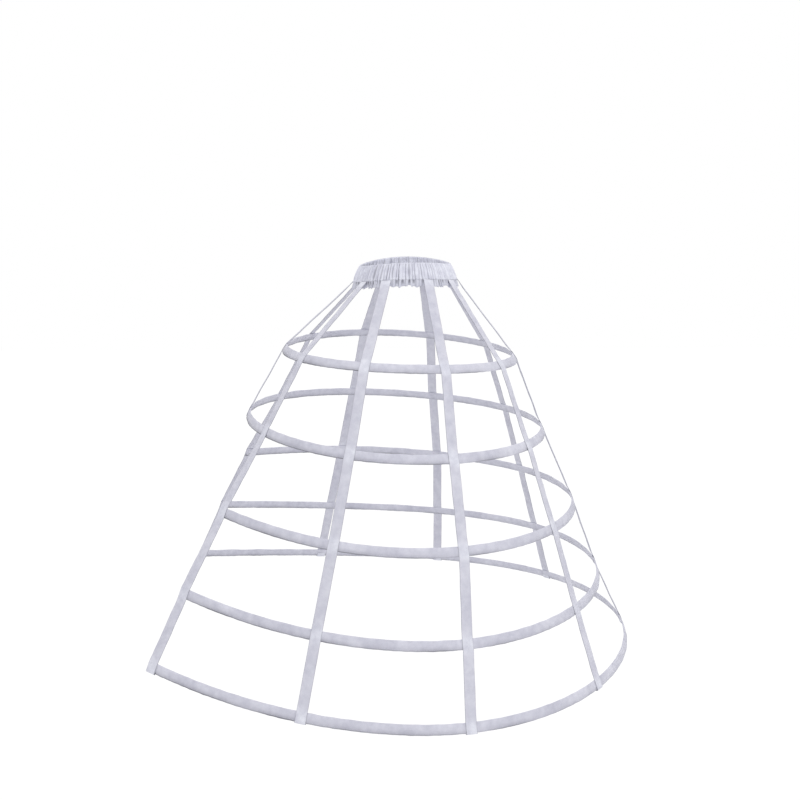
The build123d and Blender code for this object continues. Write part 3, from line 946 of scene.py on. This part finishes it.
def cloth_material(name, weave, sizes, colour, shade_and_tone, sheen, bump, backed_painted_light=None):
    """A cotton finish. Where cloth has another layer behind it, it takes the lighter backed colour,
    painted light for the light that the layer behind sends back through the thin cloth. Where the piece's
    shade values say so, its colour is darkened towards a painted shade colour.
    """
    material = bpy.data.materials.new(name)
    material.use_nodes = True
    tree = material.node_tree
    shader = tree.nodes["Principled BSDF"]
    group = tree.nodes.new("ShaderNodeGroup")
    group.node_tree = weave
    for socket, value in sizes.items():
        group.inputs[socket].default_value = value
    group.inputs["Colour"].default_value = (*colour, 1)
    group.inputs["Shade and tone colour"].default_value = (*shade_and_tone, 1)
    # Painted light: backed cloth takes a lighter colour in place of the light that comes back through the
    # thin cloth from the layer behind.
    if backed_painted_light:
        layer = tree.nodes.new("ShaderNodeAttribute")
        layer.attribute_name = "backing"
        mix = tree.nodes.new("ShaderNodeMix")
        mix.data_type = "RGBA"
        mix.inputs["A"].default_value = (*colour, 1)
        mix.inputs["B"].default_value = (*backed_painted_light, 1)
        tree.links.new(layer.outputs["Fac"], mix.inputs["Factor"])
        tree.links.new(mix.outputs["Result"], group.inputs["Colour"])
    # Painted shade: the piece's shade values darken its colour towards a dark copy of the cloth's darker
    # colour, in folds, seams and along edges.
    shade = tree.nodes.new("ShaderNodeAttribute")
    shade.attribute_name = "shade"
    shaded = tree.nodes.new("ShaderNodeMix")
    shaded.data_type = "RGBA"
    shaded.inputs["B"].default_value = (*[c * SHADE_DEPTH for c in shade_and_tone], 1)
    tree.links.new(shade.outputs["Fac"], shaded.inputs["Factor"])
    tree.links.new(group.outputs["Colour"], shaded.inputs["A"])
    lump = tree.nodes.new("ShaderNodeBump")
    lump.inputs["Strength"].default_value = bump
    lump.inputs["Distance"].default_value = WEAVE_RELIEF
    tree.links.new(group.outputs["Height"], lump.inputs["Height"])
    tree.links.new(lump.outputs["Normal"], shader.inputs["Normal"])
    tree.links.new(shaded.outputs["Result"], shader.inputs["Base Color"])
    tree.links.new(group.outputs["Roughness"], shader.inputs["Roughness"])
    shader.inputs["Sheen Weight"].default_value = sheen
    shader.inputs["Sheen Roughness"].default_value = 0.4
    shader.inputs["Specular IOR Level"].default_value = 0.35
    return material


def metal_material(name, colour, roughness, streak):
    """Rolled steel with fine streaks along it."""
    material = bpy.data.materials.new(name)
    material.use_nodes = True
    tree = material.node_tree
    shader = tree.nodes["Principled BSDF"]
    place = tree.nodes.new("ShaderNodeTexCoord")
    stretch = tree.nodes.new("ShaderNodeMapping")
    stretch.inputs["Scale"].default_value = (STREAK_LENGTHWISE, STREAK_LENGTHWISE, streak)
    noise = tree.nodes.new("ShaderNodeTexNoise")
    noise.inputs["Scale"].default_value = 1
    noise.inputs["Detail"].default_value = 5
    ramp = tree.nodes.new("ShaderNodeValToRGB")
    ramp.color_ramp.elements[0].color = (*[c * STREAK_TONE for c in colour], 1)
    ramp.color_ramp.elements[1].color = (*colour, 1)
    tree.links.new(place.outputs["Object"], stretch.inputs["Vector"])
    tree.links.new(stretch.outputs["Vector"], noise.inputs["Vector"])
    tree.links.new(noise.outputs["Fac"], ramp.inputs["Fac"])
    tree.links.new(ramp.outputs["Color"], shader.inputs["Base Color"])
    rough = maths(tree, "MULTIPLY_ADD", noise.outputs["Fac"], 0.2)
    rough.node.inputs[2].default_value = roughness
    tree.links.new(rough, shader.inputs["Roughness"])
    shader.inputs["Metallic"].default_value = 1
    return material


def dress(piece, material):
    """Gives a piece one finish all over."""
    piece.data.materials.clear()
    piece.data.materials.append(material)


def seen_directly(tree):
    """1 where the camera sees the background, straight or in metal or glass, and 0 for its light."""
    paths = tree.nodes.new("ShaderNodeLightPath")
    seen = maths(tree, "ADD", paths.outputs["Is Camera Ray"], paths.outputs["Is Glossy Ray"])
    return maths(tree, "ADD", seen, paths.outputs["Is Transmission Ray"], clamp=True)


def build_floor():
    """A pale floor that keeps a soft shadow."""
    half = FLOOR_SIZE / 2
    corners = [(-half, -half), (half, -half), (half, half), (-half, half)]
    mesh = bpy.data.meshes.new("floor")
    mesh.from_pydata([(x, y, FLOOR_HEIGHT) for x, y in corners], [], [(0, 1, 2, 3)])
    floor = bpy.data.objects.new("floor", mesh)
    bpy.context.scene.collection.objects.link(floor)
    material = bpy.data.materials.new("pale floor")
    material.use_nodes = True
    tree = material.node_tree
    shader = tree.nodes["Principled BSDF"]
    shader.inputs["Base Color"].default_value = (0.85, 0.85, 0.86, 1)
    shader.inputs["Roughness"].default_value = 0.9
    white = tree.nodes.new("ShaderNodeEmission")
    white.inputs["Color"].default_value = (1, 1, 1, 1)
    white.inputs["Strength"].default_value = FLOOR_GLOW
    glow = maths(tree, "MULTIPLY", seen_directly(tree), FLOOR_GLOW_SHARE)
    mix = tree.nodes.new("ShaderNodeMixShader")
    tree.links.new(glow, mix.inputs["Fac"])
    tree.links.new(shader.outputs["BSDF"], mix.inputs[1])
    tree.links.new(white.outputs["Emission"], mix.inputs[2])
    tree.links.new(mix.outputs["Shader"], tree.nodes["Material Output"].inputs["Surface"])
    dress(floor, material)


def build_room():
    """A soft, even world, which the camera sees as white."""
    world = bpy.data.worlds.new("soft white room")
    bpy.context.scene.world = world
    world.use_nodes = True
    tree = world.node_tree
    room = tree.nodes["Background"]
    room.inputs["Color"].default_value = (1, 1, 1, 1)
    room.inputs["Strength"].default_value = ROOM_LIGHT
    plain = tree.nodes.new("ShaderNodeBackground")
    plain.inputs["Color"].default_value = (1, 1, 1, 1)
    plain.inputs["Strength"].default_value = 1
    mix = tree.nodes.new("ShaderNodeMixShader")
    tree.links.new(seen_directly(tree), mix.inputs["Fac"])
    tree.links.new(room.outputs["Background"], mix.inputs[1])
    tree.links.new(plain.outputs["Background"], mix.inputs[2])
    tree.links.new(mix.outputs["Shader"], tree.nodes["World Output"].inputs["Surface"])


def build_lamps():
    """Soft square lamps that face the middle of the cage."""
    for name, (place, size, power) in LAMPS.items():
        data = bpy.data.lights.new(name, "AREA")
        data.shape = "SQUARE"
        data.size = size
        data.energy = power
        lamp = bpy.data.objects.new(name, data)
        bpy.context.scene.collection.objects.link(lamp)
        lamp.location = place
        aim = Vector(LAMP_AIM) - Vector(place)
        lamp.rotation_euler = aim.to_track_quat("-Z", "Y").to_euler()


def build_camera():
    """The photograph's viewpoint."""
    data = bpy.data.cameras.new("camera")
    data.lens = CAMERA_LENS
    data.sensor_width = SENSOR_WIDTH
    data.clip_start, data.clip_end = 0.05, 50
    camera = bpy.data.objects.new("camera", data)
    bpy.context.scene.collection.objects.link(camera)
    camera.location = CAMERA_PLACE
    yaw, pitch = math.radians(CAMERA_YAW), math.radians(CAMERA_PITCH)
    ahead = Vector((-math.cos(yaw) * math.cos(pitch), math.sin(yaw) * math.cos(pitch), math.sin(pitch)))
    camera.rotation_euler = ahead.to_track_quat("-Z", "Y").to_euler()
    bpy.context.scene.camera = camera


bpy.context.scene.view_settings.view_transform = "Standard"
build_camera()
build_floor()
build_room()
build_lamps()

weave = woven_cloth()
casing_cotton = cloth_material(
    "casing cotton", weave, {"Thread pitch": 0.0007, "Crease depth": 1.6, "Unevenness": 1.1},
    (0.76, 0.76, 0.85), (0.50, 0.50, 0.60), 0.25, 0.6,
)
# Tape cotton, with a lighter backed colour as painted light where it lies on other cloth.
tape_cotton = cloth_material(
    "tape cotton", weave, {"Thread pitch": 0.0012, "Slant": 0.9, "Rib width": 0.0035, "Unevenness": 0.7},
    (0.72, 0.72, 0.80), (0.48, 0.48, 0.58), 0.15, 0.6, backed_painted_light=(0.84, 0.85, 0.93),
)
waist_cotton = cloth_material(
    "waist cotton", weave, {"Thread pitch": 0.0006, "Crease depth": 1.0, "Unevenness": 0.6},
    (0.88, 0.89, 0.98), (0.48, 0.48, 0.60), 0.2, 0.5,
)
thread = cloth_material(
    "sewing thread", weave, {"Thread pitch": 0.0004, "Slant": 0.8, "Unevenness": 0.2},
    (0.82, 0.82, 0.9), (0.6, 0.6, 0.68), 0.1, 0.2,
)
elastic = cloth_material(
    "braided elastic", weave, {"Thread pitch": 0.0014, "Slant": 0.6, "Rib width": 0.002},
    (0.8, 0.8, 0.82), (0.5, 0.5, 0.55), 0.1, 0.6,
)
boning_steel = metal_material("boning steel", (0.72, 0.72, 0.74), 0.3, 400)
tinned_steel = metal_material("tinned steel", (0.78, 0.78, 0.8), 0.25, 200)

hoops = [Hoop(number) for number in range(1, HOOPS + 1)]
crossings = {f"{side}_{place}": hoops for side in ("left", "right") for place in SIDE_TAPES}
crossings["centre_back"] = hoops
crossings["centre_front"] = hoops[:CLOSED_HOOPS]
hoop_lines = []
for hoop in hoops:
    hoop.sway([node_points(f"{name}_tape") for name, crossed in crossings.items() if hoop in crossed])
    casing = build_casing(hoop)
    dress(casing, casing_cotton)
    dress(build_bone(hoop), boning_steel)
    hoop_lines += hoop.stitch_lines

box_lines = []
tape_tops = []
for name, crossed in crossings.items():
    tape, length, boxes = build_tape(name, crossed)
    dress(tape, tape_cotton)
    box_lines += boxes
    _, below = tape_corners(node_points(f"{name}_tape"))
    tape_tops.append(below.mean(axis=0))

waistband, waist_lines = build_waistband(tape_tops)
dress(waistband, waist_cotton)

stitches = stitch_tree(thread)
sew("casing_stitching", hoop_lines, stitches)
sew("crossing_stitching", box_lines, stitches)
sew("waistband_stitching", waist_lines, stitches)

dress(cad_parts["waist_elastic"], elastic)
for number in range(1, HOOPS + 1):
    fitting = "bone_sleeve" if number <= CLOSED_HOOPS else "bone_tips"
    dress(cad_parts[f"hoop_{number}_{fitting}"], tinned_steel)
